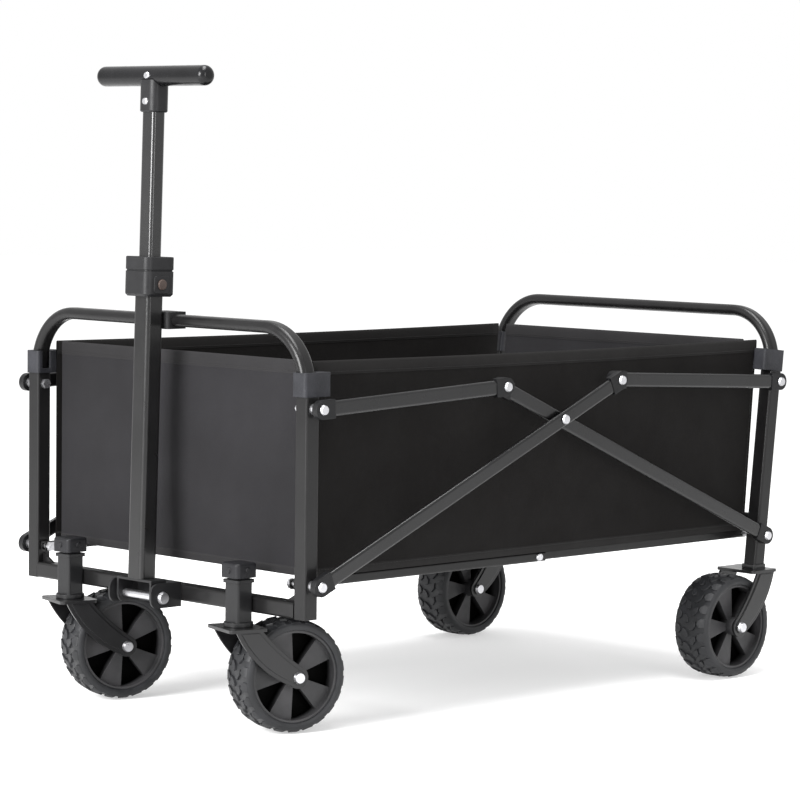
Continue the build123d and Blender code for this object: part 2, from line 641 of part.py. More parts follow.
REAR_PLATES = [
    Plane(origin=(REAR_PLATE_X, side * REAR_WHEEL_Y, REAR_FORK_TOP)) for side in SIDES.values()
]
with BuildPart() as rear_forks:
    for rear_plate in REAR_PLATES:
        add_fork(rear_plate, REAR_TRAIL)
    foot_x = REAR.from_local_coords(Vector(0, 0, REAR_UPRIGHT_LOW)).X
    with BuildSketch(Plane.XY.offset(REAR_FORK_TOP)):
        with Locations((foot_x, UPRIGHT_Y), (foot_x, -UPRIGHT_Y)):
            RectangleRounded(FOOT_SIZE, FOOT_SIZE, 4)
    extrude(amount=FOOT_RISE)
    with BuildSketch(REAR.offset(REAR_UPRIGHT_LOW)):
        with Locations((0, UPRIGHT_Y), (0, -UPRIGHT_Y)):
            RectangleRounded(UPRIGHT, UPRIGHT, TUBE_CORNER)
    extrude(amount=2 * FOOT_RISE, mode=Mode.SUBTRACT)
finish(rear_forks, "rear_forks")

with BuildPart() as rear_axles:
    for rear_plate in REAR_PLATES:
        add_axle(rear_plate, REAR_TRAIL)
finish(rear_axles, "rear_axles")


# ---- caster housings --------------------------------------------------------------------------------
with BuildPart() as caster_housings:
    for side in SIDES.values():
        foot = Plane(origin=(SWIVEL_X, side * SWIVEL_Y, HOUSING_LOW))
        with BuildSketch(foot):
            RectangleRounded(HOUSING, HOUSING, 4)
        extrude(amount=HOUSING_HIGH - HOUSING_LOW)
        with BuildSketch(foot):
            Circle(CUP_R)
        extrude(amount=FORK_TOP + 0.4 - HOUSING_LOW)
        with BuildSketch(Plane(origin=(SWIVEL_X, side * SWIVEL_Y, HOUSING_HIGH))):
            RectangleRounded(HOUSING + 4, HOUSING + 4, 4)
        extrude(amount=PIVOT_Z - HOUSING_HIGH)
        with BuildSketch(foot):
            Circle(STEM_R + RUNNING)
        extrude(amount=HOUSING_HIGH, both=True, mode=Mode.SUBTRACT)
finish(caster_housings, "caster_housings")

with BuildPart() as caster_caps:
    for side in SIDES.values():
        neck = Plane(origin=(SWIVEL_X, side * SWIVEL_Y, PIVOT_Z + 0.4))
        with BuildSketch(neck):
            Circle(HOUSING / 2)
        extrude(amount=CAP_NECK)
        with BuildSketch(neck.offset(CAP_NECK)):
            RectangleRounded(CAP_SIZE, CAP_SIZE, 6)
        extrude(amount=CAP_RISE)
        for turned in (Vector(1, 0, 0), Vector(0, 1, 0)):
            rivet = Plane(origin=neck.origin + Vector(0, 0, CAP_NECK + CAP_RISE / 2), z_dir=turned)
            with BuildSketch(rivet):
                Circle(CAP_RIVET_R)
            extrude(amount=CAP_SIZE / 2 + CAP_RIVET_OUT, both=True)
    fillet(caster_caps.faces().group_by(Axis.Z)[-1].edges(), 3)
finish(caster_caps, "caster_caps")


# ---- hitch and handle ----------------------------------------------------------------------------------
CROSSBAR_FACE_X = FRONT_X + UPRIGHT / 2
with BuildPart() as hitch_bracket:
    with BuildSketch(Plane.XY.offset(HITCH_LOW)):
        with Locations((CROSSBAR_FACE_X + HITCH_PLATE / 2, 0)):
            Rectangle(HITCH_PLATE, 2 * HITCH_HALF_Y)
        for side in SIDES.values():
            with Locations(((CROSSBAR_FACE_X + HITCH_NOSE) / 2, side * (HITCH_HALF_Y - HITCH_PLATE / 2))):
                Rectangle(HITCH_NOSE - CROSSBAR_FACE_X, HITCH_PLATE)
    extrude(amount=HITCH_HIGH - HITCH_LOW)
    noses = hitch_bracket.edges().filter_by(Axis.Y).group_by(Axis.X)[-1]
    fillet(noses, HITCH_CORNER)
    with BuildSketch(side_of(HANDLE, 0, 0, 0)):
        Circle(HITCH_R)
    extrude(amount=HITCH_HALF_Y + 1, both=True, mode=Mode.SUBTRACT)
finish(hitch_bracket, "hitch_bracket")

with BuildPart() as hitch_bolt:
    pivot_line = side_of(HANDLE, 0, 0, 0)
    with BuildSketch(pivot_line):
        Circle(HITCH_R)
    extrude(amount=HITCH_HALF_Y, both=True)
    for way in (1, -1):
        with BuildSketch(pivot_line.offset(way * HITCH_HALF_Y)):
            Circle(HITCH_HEAD_R)
        extrude(amount=way * HITCH_HEAD_H, taper=AXLE_TAPER)
finish(hitch_bolt, "hitch_bolt")

with BuildPart() as handle_clevis:
    with BuildSketch(side_of(HANDLE, 0, 0, 0)):
        Circle(CLEVIS_R)
        with Locations((0, OUTER_TUBE_LOW / 2)):
            Rectangle(2 * CLEVIS_R, OUTER_TUBE_LOW)
    extrude(amount=CLEVIS_HALF_Y, both=True)
    with BuildSketch(side_of(HANDLE, 0, 0, -2 * CLEVIS_R)):
        with Locations((0, CLEVIS_R + OUTER_TUBE_LOW / 2)):
            Rectangle(3 * CLEVIS_R, 2 * CLEVIS_R + OUTER_TUBE_LOW - 2 * HITCH_PLATE)
    extrude(amount=CLEVIS_HALF_Y - HITCH_PLATE, both=True, mode=Mode.SUBTRACT)
    with BuildSketch(side_of(HANDLE, 0, 0, 0)):
        Circle(HITCH_R + RUNNING)
    extrude(amount=HITCH_HALF_Y, both=True, mode=Mode.SUBTRACT)
finish(handle_clevis, "handle_clevis")

with BuildPart() as handle_outer_tube:
    with BuildSketch(HANDLE.offset(OUTER_TUBE_LOW)):
        tube_section(OUTER_TUBE_X, OUTER_TUBE_Y, 6.0, 1.8)
    extrude(amount=OUTER_TUBE_HIGH - OUTER_TUBE_LOW)
finish(handle_outer_tube, "handle_outer_tube")

with BuildPart() as handle_collar:
    with BuildSketch(HANDLE.offset(COLLAR_LOW)):
        RectangleRounded(COLLAR, COLLAR, 9)
    extrude(amount=COLLAR_HIGH - COLLAR_LOW)
    chamfer(handle_collar.faces().sort_by(Axis.Z)[0].edges(), 3)
    fillet(handle_collar.faces().sort_by(Axis.Z)[-1].edges(), 1.5)
    with BuildSketch(HANDLE.offset(COLLAR_GROOVE)):
        RectangleRounded(COLLAR + 1, COLLAR + 1, 9)
        RectangleRounded(COLLAR - 2.4, COLLAR - 2.4, 8, mode=Mode.SUBTRACT)
    extrude(amount=2.0, mode=Mode.SUBTRACT)
    with BuildSketch(side_of(HANDLE, 0, COLLAR / 2, BUTTON_W)):
        RectangleRounded(COLLAR_PAD_X, COLLAR_PAD_W, 5)
    extrude(amount=COLLAR_PAD_OUT, both=True)
    with BuildSketch(HANDLE.offset(COLLAR_LOW)):
        RectangleRounded(OUTER_TUBE_X, OUTER_TUBE_Y, 6)
    extrude(amount=OUTER_TUBE_HIGH - COLLAR_LOW, mode=Mode.SUBTRACT)
    with BuildSketch(HANDLE.offset(COLLAR_LOW)):
        RectangleRounded(INNER_TUBE_X + 0.8, INNER_TUBE_Y + 0.8, 5)
    extrude(amount=COLLAR_HIGH - COLLAR_LOW, mode=Mode.SUBTRACT)
    with BuildSketch(side_of(HANDLE, 0, OUTER_TUBE_Y / 2 + 0.6, BUTTON_W)):
        Circle(BUTTON_R + RUNNING)
    extrude(amount=-COLLAR / 2, mode=Mode.SUBTRACT)
finish(handle_collar, "handle_collar")

with BuildPart() as collar_button:
    with BuildSketch(side_of(HANDLE, 0, BUTTON_BACK_Y, BUTTON_W)):
        Circle(BUTTON_R)
    extrude(amount=BUTTON_BACK_Y - BUTTON_FACE_Y)
    fillet(collar_button.faces().sort_by(Axis.Y)[-1].edges(), 1.2)
finish(collar_button, "collar_button")

with BuildPart() as handle_inner_tube:
    with BuildSketch(HANDLE.offset(INNER_TUBE_LOW)):
        tube_section(INNER_TUBE_X, INNER_TUBE_Y, 5.0, 1.5)
    extrude(amount=NECK_LOW + INNER_TUBE_INTO_NECK - INNER_TUBE_LOW)
finish(handle_inner_tube, "handle_inner_tube")

with BuildPart() as handle_neck:
    with BuildSketch(HANDLE.offset(NECK_LOW)):
        RectangleRounded(NECK_X, NECK_Y, NECK_CORNER)
    extrude(amount=NECK_HIGH - NECK_LOW)
    with BuildSketch(HANDLE.offset(NECK_LOW)):
        RectangleRounded(INNER_TUBE_X + 0.1, INNER_TUBE_Y + 0.1, 5)
    extrude(amount=INNER_TUBE_INTO_NECK, mode=Mode.SUBTRACT)
    chamfer(handle_neck.faces().sort_by(Axis.Z)[0].outer_wire().edges(), 1.5)
    with BuildSketch(side_of(HANDLE, 0, 0, GRIP_W)):
        Circle(GRIP_R)
    extrude(amount=GRIP_HALF, both=True, mode=Mode.SUBTRACT)
finish(handle_neck, "handle_neck")

with BuildPart() as handle_grip:
    with BuildSketch(side_of(HANDLE, 0, 0, GRIP_W)):
        Circle(GRIP_R)
    extrude(amount=GRIP_HALF, both=True)
    fillet(handle_grip.edges(), GRIP_R * 0.75)
finish(handle_grip, "handle_grip")

with BuildPart() as handle_rivets:
    for height, face in NECK_RIVETS:
        rivet_foot = HANDLE.from_local_coords(Vector(face, 0, height))
        with BuildSketch(Plane(origin=rivet_foot, x_dir=HANDLE.y_dir, z_dir=HANDLE.x_dir)):
            Circle(NECK_RIVET_R)
        extrude(amount=NECK_RIVET_H, taper=HEAD_TAPER)
finish(handle_rivets, "handle_rivets")

with BuildPart() as hoop_bumper:
    with BuildSketch(FRONT.offset(HOOP_RISE - BUMPER_HALF_Z)):
        with Locations(((BUMPER_FRONT + BUMPER_BACK) / 2 - FRONT_X, 0)):
            RectangleRounded(BUMPER_FRONT - BUMPER_BACK, 2 * BUMPER_HALF_Y, 4)
    extrude(amount=2 * BUMPER_HALF_Z)
    with BuildSketch(Plane(origin=FRONT.from_local_coords(Vector(0, 0, HOOP_RISE)), x_dir=(1, 0, 0),
                           z_dir=(0, 1, 0))):
        RectangleRounded(HOOP_FLAT + 0.1, HOOP_THIN + 0.1, HOOP_THIN / 2 - 0.2)
    extrude(amount=UPRIGHT_Y / 2, both=True, mode=Mode.SUBTRACT)
finish(hoop_bumper, "hoop_bumper")
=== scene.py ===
import json
import math

import bmesh
import bpy
from mathutils import Matrix, Vector, noise


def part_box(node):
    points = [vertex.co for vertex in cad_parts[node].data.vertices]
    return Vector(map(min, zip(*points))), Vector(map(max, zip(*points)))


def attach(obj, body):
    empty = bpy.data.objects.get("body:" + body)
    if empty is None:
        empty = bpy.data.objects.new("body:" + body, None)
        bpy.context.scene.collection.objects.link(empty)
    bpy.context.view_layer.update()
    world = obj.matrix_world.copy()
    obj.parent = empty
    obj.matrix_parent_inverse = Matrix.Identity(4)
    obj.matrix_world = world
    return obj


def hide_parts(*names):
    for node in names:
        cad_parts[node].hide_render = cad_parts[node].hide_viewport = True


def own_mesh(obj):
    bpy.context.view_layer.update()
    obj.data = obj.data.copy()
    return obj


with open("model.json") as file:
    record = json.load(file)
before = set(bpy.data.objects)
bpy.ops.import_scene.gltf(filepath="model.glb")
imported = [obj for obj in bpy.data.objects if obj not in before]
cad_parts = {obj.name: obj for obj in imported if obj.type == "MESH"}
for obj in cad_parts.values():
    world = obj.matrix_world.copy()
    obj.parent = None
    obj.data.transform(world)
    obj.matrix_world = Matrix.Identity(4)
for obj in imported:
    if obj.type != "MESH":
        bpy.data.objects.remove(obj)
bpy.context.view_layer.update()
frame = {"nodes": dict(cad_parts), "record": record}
nodes = frame["nodes"]

# ---- sizes in metres, in the CAD row's frame ----------------------------------------------------
upright_low, upright_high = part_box("front_upright_left")
FRONT_X = (upright_low.x + upright_high.x) / 2
REAR_X = FRONT_X - 0.836
PIVOT_Z = 0.190
WALL_TOP = 0.455
WALL_LOW = 0.1975
WALL_RISE = WALL_TOP - WALL_LOW
SIDE_Y = 0.2456
FRONT_WALL_HALF = 0.2345  # the end walls stand between their own floor rails
REAR_WALL_HALF = 0.2252
FRONT_WALL_X = FRONT_X - 0.0195
REAR_LEAN = math.radians(6)
WALL_LEAN = math.tan(REAR_LEAN) * 0.72  # the rear wall leans less than the uprights behind it
CLOTH_THICK = 0.0014
FLOOR_CLOTH_THICK = 0.0008
FLOOR_CLOTH_Z = 0.19685
HEM = 0.0155
HEM_V = 1 - HEM / WALL_RISE  # the hem's lower edge, as a share of the wall's height
WELT_V, FOOT_V = 0.035, -0.004  # the welt's edges, as shares of the wall's height
HEM_LIFT = Vector((0, 0, 0.0004))
SEAM_ROWS = (HEM_V + 0.012, 0.028)  # the rows of stitching in the hem and in the welt
SEAM_STAND = 0.0014
WHEEL_R = 0.070
WHEEL_HALF = 0.028
RIM_R = 0.0565
SWIVEL = math.radians(-15)
LUGS = 22
X, Y, Z = 0, 1, 2


def rear_x(z, ahead=0.0145):
    """X of the basket's rear end at a height."""
    return REAR_X + ahead / math.cos(REAR_LEAN) - (z - PIVOT_Z) * WALL_LEAN


# ---- materials ----------------------------------------------------------------------------------
class Nodes:
    """A few shortcuts for building one material's nodes."""

    def __init__(self, name):
        self.material = bpy.data.materials.new(name)
        self.material.use_nodes = True
        self.tree = self.material.node_tree
        self.shader = self.tree.nodes["Principled BSDF"]
        self.coords = self.tree.nodes.new("ShaderNodeTexCoord").outputs["Object"]

    def add(self, kind, **settings):
        node = self.tree.nodes.new(kind)
        for key, value in settings.items():
            setattr(node, key, value)
        return node

    def link(self, a, b):
        self.tree.links.new(a, b)

    def noise(self, scale, detail=3.0, rough=0.5):
        tex = self.add("ShaderNodeTexNoise")
        tex.inputs["Scale"].default_value = scale
        tex.inputs["Detail"].default_value = detail
        tex.inputs["Roughness"].default_value = rough
        self.link(self.coords, tex.inputs["Vector"])
        return tex.outputs["Fac"]

    def ramp(self, value, low, high, a=0.0, b=1.0):
        """Maps a 0 to 1 value from the span low..high onto a..b."""
        node = self.add("ShaderNodeMapRange")
        node.inputs["From Min"].default_value = low
        node.inputs["From Max"].default_value = high
        node.inputs["To Min"].default_value = a
        node.inputs["To Max"].default_value = b
        self.link(value, node.inputs["Value"])
        return node.outputs["Result"]

    def math(self, operation, a, b):
        node = self.add("ShaderNodeMath", operation=operation)
        for socket, value in zip(node.inputs, (a, b)):
            if isinstance(value, (int, float)):
                socket.default_value = value
            else:
                self.link(value, socket)
        return node.outputs[0]

    def mix(self, fac, a, b):
        """Blends two colours, each a tuple or a socket."""
        node = self.add("ShaderNodeMix", data_type="RGBA")
        self.link(fac, node.inputs["Factor"])
        for socket, value in ((node.inputs[6], a), (node.inputs[7], b)):
            if isinstance(value, tuple):
                socket.default_value = (*value, 1)
            else:
                self.link(value, socket)
        return node.outputs[2]

    def bump(self, height, strength, distance, normal=None):
        node = self.add("ShaderNodeBump")
        node.inputs["Strength"].default_value = strength
        node.inputs["Distance"].default_value = distance
        self.link(height, node.inputs["Height"])
        if normal is not None:
            self.link(normal, node.inputs["Normal"])
        return node.outputs["Normal"]

    def rounded(self, radius):
        node = self.add("ShaderNodeBevel", samples=4)
        node.inputs["Radius"].default_value = radius
        return node.outputs["Normal"]

    def set(self, **values):
        """Sets the shader's inputs by name, each to a number, a colour or a socket."""
        for key, value in values.items():
            socket = self.shader.inputs[key.replace("_", " ")]
            if isinstance(value, tuple):
                socket.default_value = (*value, 1)
            elif isinstance(value, (int, float)):
                socket.default_value = value
            else:
                self.link(value, socket)


def paint(name, dark, light, rough, edge=0.0008, coat=0.12):
    """Satin powder coat: fine orange peel, faint cloudiness, rounded edges."""
    n = Nodes(name)
    cloud = n.ramp(n.noise(9, 4), 0.35, 0.65)
    n.set(Base_Color=n.mix(cloud, dark, light))
    n.set(Roughness=n.ramp(n.noise(60, 3), 0.3, 0.7, rough - 0.05, rough + 0.07))
    n.set(Coat_Weight=coat, Coat_Roughness=0.14, Specular_IOR_Level=0.2)
    n.set(Normal=n.bump(n.noise(1500, 2), 0.35, 0.00012, n.rounded(edge)))
    return n.material


def plastic(name, dark, light, rough=0.42, grain=700, depth=0.0002, strength=0.5, edge=0.0016):
    """Moulded plastic with a fine spark-eroded grain."""
    n = Nodes(name)
    n.set(Base_Color=n.mix(n.ramp(n.noise(25, 4), 0.35, 0.65), dark, light))
    gloss = n.ramp(n.noise(140, 3), 0.3, 0.7, rough - 0.07, rough + 0.07)
    n.set(Roughness=gloss, Specular_IOR_Level=0.22)
    n.set(Normal=n.bump(n.noise(grain, 4, 0.65), strength, depth, n.rounded(edge)))
    return n.material


def metal(name, colour, rough):
    """Bright zinc plating with faint blotches and fine turning marks."""
    n = Nodes(name)
    blotch = n.ramp(n.noise(160, 4, 0.6), 0.3, 0.7)
    n.set(Base_Color=n.mix(blotch, tuple(c * 0.82 for c in colour), colour), Metallic=1.0)
    n.set(Roughness=n.ramp(n.noise(420, 4, 0.7), 0.3, 0.7, rough - 0.08, rough + 0.12))
    n.set(Normal=n.bump(n.noise(900, 3), 0.3, 0.0001, n.rounded(0.0007)))
    return n.material


def cloth(name, dark, light, across, up, thread=0.0011, rough=0.82):
    """Plain-woven coated polyester. across and up are the axes that its threads follow."""
    n = Nodes(name)
    split = n.add("ShaderNodeSeparateXYZ")
    n.link(n.coords, split.inputs[0])
    step = 2 * math.pi / thread
    warp = n.math("SINE", n.math("MULTIPLY", split.outputs[across], step), 0.0)
    weft = n.math("SINE", n.math("MULTIPLY", split.outputs[up], step), 0.0)
    weave = n.ramp(n.math("MULTIPLY", warp, weft), -1, 1)
    slub = n.noise(260, 3, 0.6)
    cloud = n.ramp(n.noise(6, 4, 0.55), 0.3, 0.7)
    base = n.mix(cloud, dark, light)
    shade = n.mix(n.ramp(weave, 0, 1, 0.0, 0.35), base, tuple(c * 0.45 for c in dark))
    n.set(Base_Color=shade, Sheen_Weight=0.03, Sheen_Roughness=0.5, Specular_IOR_Level=0.12)
    n.set(Roughness=n.ramp(n.noise(14, 3), 0.3, 0.7, rough - 0.06, rough + 0.08))
    soft = n.bump(n.noise(22, 4, 0.55), 0.35, 0.004)
    threads = n.math("ADD", weave, n.math("MULTIPLY", slub, 0.6))
    n.set(Normal=n.bump(threads, 0.55, 0.00022, soft))
    return n.material


def rubber(name, dark, light, rough):
    """Dusty rubber with a fine grain."""
    n = Nodes(name)
    dust = n.ramp(n.noise(45, 5, 0.65), 0.42, 0.75)
    n.set(Base_Color=n.mix(dust, dark, light), Specular_IOR_Level=0.3)
    n.set(Roughness=n.ramp(n.noise(90, 4), 0.3, 0.7, rough - 0.1, rough + 0.1))
    n.set(Normal=n.bump(n.noise(700, 4, 0.6), 0.5, 0.0002))
    return n.material


def floor_paper(name):
    """Seamless studio paper, a little luminous so that it stays pale under the wagon."""
    n = Nodes(name)
    n.set(Base_Color=(0.62, 0.62, 0.62), Roughness=0.95, Specular_IOR_Level=0.0)
    n.set(Emission_Color=(1.0, 1.0, 1.0), Emission_Strength=0.45)
    return n.material


def rim_plastic_with_painted_shade(name, hub, axle):
    """Satin spokes with painted shade: their colour runs to black and their specular fades towards the
    closed web in the middle of the wheel, where shade falls between the spokes.
    """
    n = Nodes(name)
    offset = n.add("ShaderNodeVectorMath", operation="SUBTRACT")
    n.link(n.coords, offset.inputs[0])
    offset.inputs[1].default_value = hub
    along = n.add("ShaderNodeVectorMath", operation="DOT_PRODUCT")
    n.link(offset.outputs[0], along.inputs[0])
    along.inputs[1].default_value = axle
    depth = n.math("ABSOLUTE", along.outputs["Value"], 0.0)
    # Painted shade: near the wheel's mid-plane the spokes' tint gives way to near black and their specular
    # drops, standing in for the shade in the deep recess.
    painted_shade_falloff = n.ramp(depth, 0.005, 0.0165)
    tint = n.mix(n.ramp(n.noise(25, 4), 0.35, 0.65), (0.020, 0.020, 0.021), (0.034, 0.033, 0.035))
    n.set(Base_Color=n.mix(painted_shade_falloff, (0.0012, 0.0012, 0.0012), tint))
    n.set(Specular_IOR_Level=n.ramp(painted_shade_falloff, 0, 1, 0.02, 0.3))
    n.set(Roughness=n.ramp(n.noise(140, 3), 0.3, 0.7, 0.40, 0.55))
    n.set(Normal=n.bump(n.noise(600, 4, 0.65), 0.4, 0.0002, n.rounded(0.0012)))
    return n.material


# Keyed by the CAD nodes' material slots. floor_cloth, the hems and thread are for cloth pieces only.
M = {
    "frame_paint": paint("frame_paint_m", (0.0043, 0.0041, 0.0043), (0.0065, 0.0063, 0.0065), 0.36),
    "housing_paint": paint("housing_paint_m", (0.0072, 0.0072, 0.0077), (0.0105, 0.0105, 0.0113),
                           0.42, edge=0.0014),
    "floor_paint": paint("floor_paint_m", (0.0030, 0.0029, 0.0029), (0.0047, 0.0046, 0.0046), 0.42),
    "link_paint": paint("link_paint_m", (0.0026, 0.0026, 0.0028), (0.0042, 0.0041, 0.0045),
                        0.30, edge=0.0016, coat=0.4),
    "link_caps": plastic("link_cap_m", (0.0035, 0.0035, 0.0040), (0.0057, 0.0057, 0.0064), strength=0.4),
    "sleeve_plastic": plastic("sleeve_m", (0.0105, 0.0109, 0.0131), (0.0210, 0.0214, 0.0255),
                              rough=0.5, grain=520, depth=0.0006, strength=0.9),
    "zinc": metal("zinc_m", (0.58, 0.58, 0.60), 0.32),
    "fork_paint": paint("fork_paint_m", (0.0047, 0.0047, 0.0050), (0.0080, 0.0079, 0.0085),
                        0.36, edge=0.0018, coat=0.35),
    "cap_plastic": plastic("stem_cap_m", (0.0051, 0.0051, 0.0060), (0.0090, 0.0090, 0.0105),
                           depth=0.0003, edge=0.002),
    "tyre": rubber("tyre_m", (0.0097, 0.0101, 0.0112), (0.0188, 0.0191, 0.0214), 0.5),
    "tube_paint": paint("outer_tube_m", (0.0050, 0.0049, 0.0050), (0.0073, 0.0071, 0.0074),
                        0.32, edge=0.0012, coat=0.35),
    "inner_tube": paint("inner_tube_m", (0.0075, 0.0074, 0.0076), (0.0105, 0.0104, 0.0107),
                        0.24, edge=0.001, coat=0.6),
    "collar_plastic": plastic("collar_m", (0.0072, 0.0072, 0.0078), (0.0114, 0.0114, 0.0123),
                              grain=800, depth=0.0003),
    "grip": plastic("grip_m", (0.0039, 0.0039, 0.0043), (0.0060, 0.0060, 0.0066),
                    rough=0.22, grain=300, depth=0.0001, strength=0.25, edge=0.001),
    "button": plastic("button_m", (0.030, 0.021, 0.018), (0.060, 0.044, 0.038),
                      rough=0.35, depth=0.0001, strength=0.3, edge=0.001),
    "bumper": rubber("bumper_m", (0.0024, 0.0024, 0.0027), (0.0045, 0.0045, 0.0050), 0.62),
    "fabric_side": cloth("side_cloth_m", (0.0017, 0.0012, 0.0010), (0.0027, 0.0020, 0.0018), X, Z),
    "fabric_end": cloth("end_cloth_m", (0.0109, 0.0105, 0.0115), (0.0161, 0.0155, 0.0174), Y, Z),
    "floor_cloth": cloth("floor_cloth_m", (0.0020, 0.0020, 0.0020), (0.0030, 0.0030, 0.0030), X, Y),
    "mat": cloth("mat_cloth_m", (0.0042, 0.0042, 0.0044), (0.0063, 0.0063, 0.0066), X, Y, thread=0.0016),
    "hem_side": cloth("hem_side_m", (0.0063, 0.0057, 0.0056), (0.0090, 0.0085, 0.0083), X, Z,
                      thread=0.0016, rough=0.7),
    "hem_end": cloth("hem_end_m", (0.0126, 0.0120, 0.0126), (0.0180, 0.0174, 0.0186), Y, Z,
                     thread=0.0016, rough=0.7),
    "thread": cloth("thread_m", (0.0160, 0.0156, 0.0156), (0.0272, 0.0264, 0.0264), X, Z,
                    thread=0.0004, rough=0.6),
}


def wheel_frame(node):
    """A wheel part's centre, axle direction and forward direction, with its fork's swivel."""
    low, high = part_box(node)
    turn = SWIVEL if "front" in node else 0.0
    axle = Vector((-math.sin(turn), math.cos(turn), 0))
    ahead = Vector((math.cos(turn), math.sin(turn), 0))
    return (low + high) / 2, axle, ahead


for part in frame["record"]["subparts"]:
    node, slot = part["node"], part["material_slot"]
    mesh = nodes[node].data
    mesh.materials.clear()
    if slot == "rim":
        hub, axle, _ = wheel_frame(node)
        mesh.materials.append(rim_plastic_with_painted_shade(f"{node}_m", hub, axle))
    else:
        mesh.materials.append(M[slot])


# ---- mesh helpers -------------------------------------------------------------------------------
def piece(name, bm, material, smooth):
    """Turns a bmesh into an object with one material, smooth except at edges sharper than an angle."""
    bmesh.ops.recalc_face_normals(bm, faces=bm.faces)
    mesh = bpy.data.meshes.new(name)
    bm.to_mesh(mesh)
    bm.free()
    mesh.materials.append(M[material])
    mesh.shade_smooth()
    mesh.set_sharp_from_angle(angle=math.radians(smooth))
    obj = bpy.data.objects.new(name, mesh)
    bpy.context.scene.collection.objects.link(obj)
    return obj


def bridge(bm, rings):
    """Walls between closed rings of corners that follow one another."""
    for a, b in zip(rings, rings[1:]):
        count = len(a)
        for s in range(count):
            bm.faces.new((a[s], a[(s + 1) % count], b[(s + 1) % count], b[s]))


def cap_ends(bm, rings):
    bm.faces.new(rings[0])
    bm.faces.new(list(reversed(rings[-1])))


def close_grids(bm, upper, lower, nu, nv):
    """Faces over two grids of corners and round their shared edge. Returns the edge's indices in order."""

    def at(i, j):
        return j * (nu + 1) + i

    for j in range(nv):
        for i in range(nu):
            ring = (at(i, j), at(i + 1, j), at(i + 1, j + 1), at(i, j + 1))
            bm.faces.new([upper[k] for k in ring])
            bm.faces.new([lower[k] for k in reversed(ring)])
    rim = [at(i, 0) for i in range(nu + 1)] + [at(nu, j) for j in range(1, nv + 1)]
    rim += [at(i, nv) for i in range(nu - 1, -1, -1)] + [at(0, j) for j in range(nv - 1, 0, -1)]
    for a, b in zip(rim, rim[1:] + rim[:1]):
        bm.faces.new((upper[a], upper[b], lower[b], lower[a]))
    return rim


def grid_sheet(bm, place, nu, nv, out, thick):
    """A thin closed sheet. place(u, v) gives a point, and out is the side that its thickness goes to."""
    front, back = [], []
    for j in range(nv + 1):
        for i in range(nu + 1):
            point = place(i / nu, j / nv)
            front.append(bm.verts.new(point + out * (thick / 2)))
            back.append(bm.verts.new(point - out * (thick / 2)))
    close_grids(bm, front, back, nu, nv)


def tube_along(bm, points, radius, sides, closed=False):
    """A thin round tube through a list of points."""
    rings = []
    count = len(points)
    for k, p in enumerate(points):
        before = points[(k - 1) % count] if closed or k else p
        after = points[(k + 1) % count] if closed or k < count - 1 else p
        along = (after - before).normalized()
        side = along.orthogonal().normalized()
        if rings:
            side = (last - along * last.dot(along)).normalized()
        last = side
        other = along.cross(side)
        ring = []
        for s in range(sides):
            a = 2 * math.pi * s / sides
            ring.append(bm.verts.new(p + (side * math.cos(a) + other * math.sin(a)) * radius))
        rings.append(ring)
    if closed:
        bridge(bm, rings + rings[:1])
    else:
        bridge(bm, rings)
        cap_ends(bm, rings)


def stitches(bm, points, out):
    """Small raised threads laid along a line of points, standing off the cloth on one side."""
    length, gap, rise, radius = 0.0034, 0.0016, 0.00035, 0.00035
    spans = list(zip(points, points[1:]))
    lengths = [(b - a).length for a, b in spans]
    total = sum(lengths)

    def at(distance):
        for (a, b), step in zip(spans, lengths):
            if distance <= step:
                return a.lerp(b, distance / max(step, 1e-9))
            distance -= step
        return points[-1]

    travelled = 0.0
    while travelled + length < total:
        a, b = at(travelled), at(travelled + length)
        middle = at(travelled + length / 2) + out * rise
        shoulder = out * rise * 0.4
        tube_along(bm, [a - out * radius, a.lerp(middle, 0.5) + shoulder, middle,
                        b.lerp(middle, 0.5) + shoulder, b - out * radius], radius, 4)
        travelled += length + gap


def ripple(x, z, seed, size):
    """Repeatable soft unevenness between about -1 and 1."""
    return noise.noise(Vector((x / size, z / size, seed)))


# ---- basket -------------------------------------------------------------------------------------
def height_swell(v):
    """How far the cloth swells at a share of the wall's height: most in the middle, none at the edges."""
    return max(0.0, math.sin(math.pi * min(1, v * 1.02))) ** 0.8


def side_wall_point(side, u, v):
    """A point of a long side wall. u runs from the rear edge to the front corner, v from the bottom up."""
    z = WALL_LOW + v * WALL_RISE
    x0, x1 = rear_x(z), FRONT_WALL_X + 0.0010
    x = x0 + u * (x1 - x0)
    belly = math.sin(math.pi * min(1, max(0, u))) * height_swell(v)
    crease = 0.0
    for corner_u, corner_v, reach in ((0, 0, 0.32), (1, 0, 0.30), (0, 1, 0.30), (1, 1, 0.28)):
        du, dv = abs(u - corner_u), abs(v - corner_v)
        far = math.hypot(du, dv * 0.42)
        fan = math.atan2(dv * 0.42, du + 1e-6)
        crease += math.cos(fan * 13 + corner_u * 2) * math.exp(-((far / reach) ** 2)) * min(1, far * 9)
    loose = ripple(x, z, side * 3.1, 0.19) * 0.0020 + ripple(x, z, side * 5.7, 0.075) * 0.0007
    swell = 0.0042 * belly + (0.0007 * crease + loose) * min(1, belly * 2.5)
    sag = -0.0022 * math.sin(math.pi * u) * max(0.0, v) ** 6
    return Vector((x, side * (SIDE_Y + swell), z + sag))


def end_wall_shape(u, v, y, seeds):
    """Height, belly and unevenness of an end wall at a point."""
    z = WALL_LOW + v * WALL_RISE
    belly = math.sin(math.pi * u) * height_swell(v)
    loose = ripple(y, z, seeds[0], 0.15) * 0.0018 + ripple(y, z, seeds[1], 0.06) * 0.0005
    return z, belly, loose * min(1, belly * 3)


def front_wall_point(u, v):
    """A point of the front wall. u runs from the right to the left."""
    y = (2 * u - 1) * FRONT_WALL_HALF
    z, belly, loose = end_wall_shape(u, v, y, (11.3, 7.9))
    return Vector((FRONT_WALL_X + 0.0040 * belly + loose, y, z - 0.0015 * belly * v))


